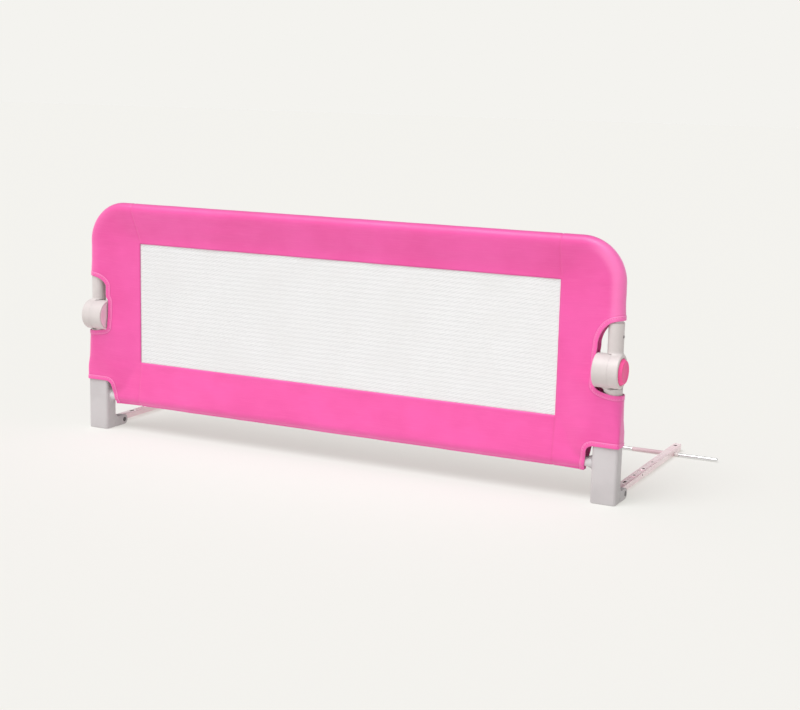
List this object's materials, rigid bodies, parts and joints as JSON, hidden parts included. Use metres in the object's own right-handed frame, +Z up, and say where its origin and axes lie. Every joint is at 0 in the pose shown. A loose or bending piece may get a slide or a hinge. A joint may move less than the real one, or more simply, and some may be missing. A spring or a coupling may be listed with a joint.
{
  "type": "folding bed guard rail",
  "caption": "Fabric-covered guard rail with a mesh window on a tube frame that folds down at two push-button hinges, on feet with fold-up under-mattress arms.",
  "frame": {"origin": "on the floor, under the middle of the whole object's box", "axes": "+X along the rail to the viewer's right, +Y towards the mattress, where the arms point, +Z up"},
  "size_m": [1.158, 0.436, 0.42],
  "materials": {
    "pink_fabric": "woven polyester, matte with a faint sheen",
    "white_mesh": "fine knitted polyester mesh",
    "grey_plastic": "fine moulded grain",
    "white_plastic": "satin",
    "pink_plastic": "satin gloss",
    "dark_plastic": "satin",
    "painted_tube": "powder coat",
    "painted_arm": "smooth powder coat",
    "steel": "zinc plated",
    "sleeve_rubber": "matte"
  },
  "bodies": {
    "lower_frame": {"left_leg": "grey_plastic", "right_leg": "grey_plastic", "left_post": "painted_tube", "right_post": "painted_tube", "bottom_crossbar": "painted_tube", "left_lower_hinge_housing": "white_plastic", "right_lower_hinge_housing": "white_plastic", "left_hinge_cap": "white_plastic", "right_hinge_cap": "white_plastic", "left_hinge_bolt": "steel", "right_hinge_bolt": "steel", "left_hinge_nut": "steel", "right_hinge_nut": "steel", "left_neck_screw": "steel", "right_neck_screw": "steel", "left_leg_screw": "steel", "right_leg_screw": "steel", "left_arm_bolt": "steel", "right_arm_bolt": "steel", "left_arm_nut": "steel", "right_arm_nut": "steel", "left_button_spring": "steel", "right_button_spring": "steel", "cover_lower": "pink_fabric", "mesh_lower": "white_mesh"},
    "upper_frame": {"top_tube": "painted_tube", "left_side_tube": "painted_tube", "right_side_tube": "painted_tube", "left_upper_hinge_housing": "white_plastic", "right_upper_hinge_housing": "white_plastic", "left_sleeve_screw": "steel", "right_sleeve_screw": "steel", "cover_upper": "pink_fabric", "mesh_upper": "white_mesh"},
    "left_push_button": {"left_button": "pink_plastic", "left_lock_gear": "dark_plastic"},
    "right_push_button": {"right_button": "pink_plastic", "right_lock_gear": "dark_plastic"},
    "mattress_frame": {"left_arm": "painted_arm", "right_arm": "painted_arm", "cross_rod": "steel", "left_rod_sleeve": "sleeve_rubber", "right_rod_sleeve": "sleeve_rubber", "left_rod_clip": "sleeve_rubber", "right_rod_clip": "sleeve_rubber"}
  },
  "joints": [
    {"name": "upper_fold", "type": "hinge", "parent": "lower_frame", "child": "upper_frame", "pos_m": [0, -0.191, 0.213], "axis": [1, 0, 0], "range_deg": [0, 150]},
    {"name": "left_button_press", "type": "slide", "parent": "upper_frame", "child": "left_push_button", "axis": [1, 0, 0], "range_m": [0, 0.0045], "stiffness_N_per_m": 600, "deforming": ["left_button_spring"]},
    {"name": "right_button_press", "type": "slide", "parent": "upper_frame", "child": "right_push_button", "axis": [-1, 0, 0], "range_m": [0, 0.0045], "stiffness_N_per_m": 600, "deforming": ["right_button_spring"]},
    {"name": "arms_fold", "type": "hinge", "parent": "lower_frame", "child": "mattress_frame", "pos_m": [0, -0.1465, 0.0093], "axis": [1, 0, 0], "range_deg": [0, 90]}
  ]
}
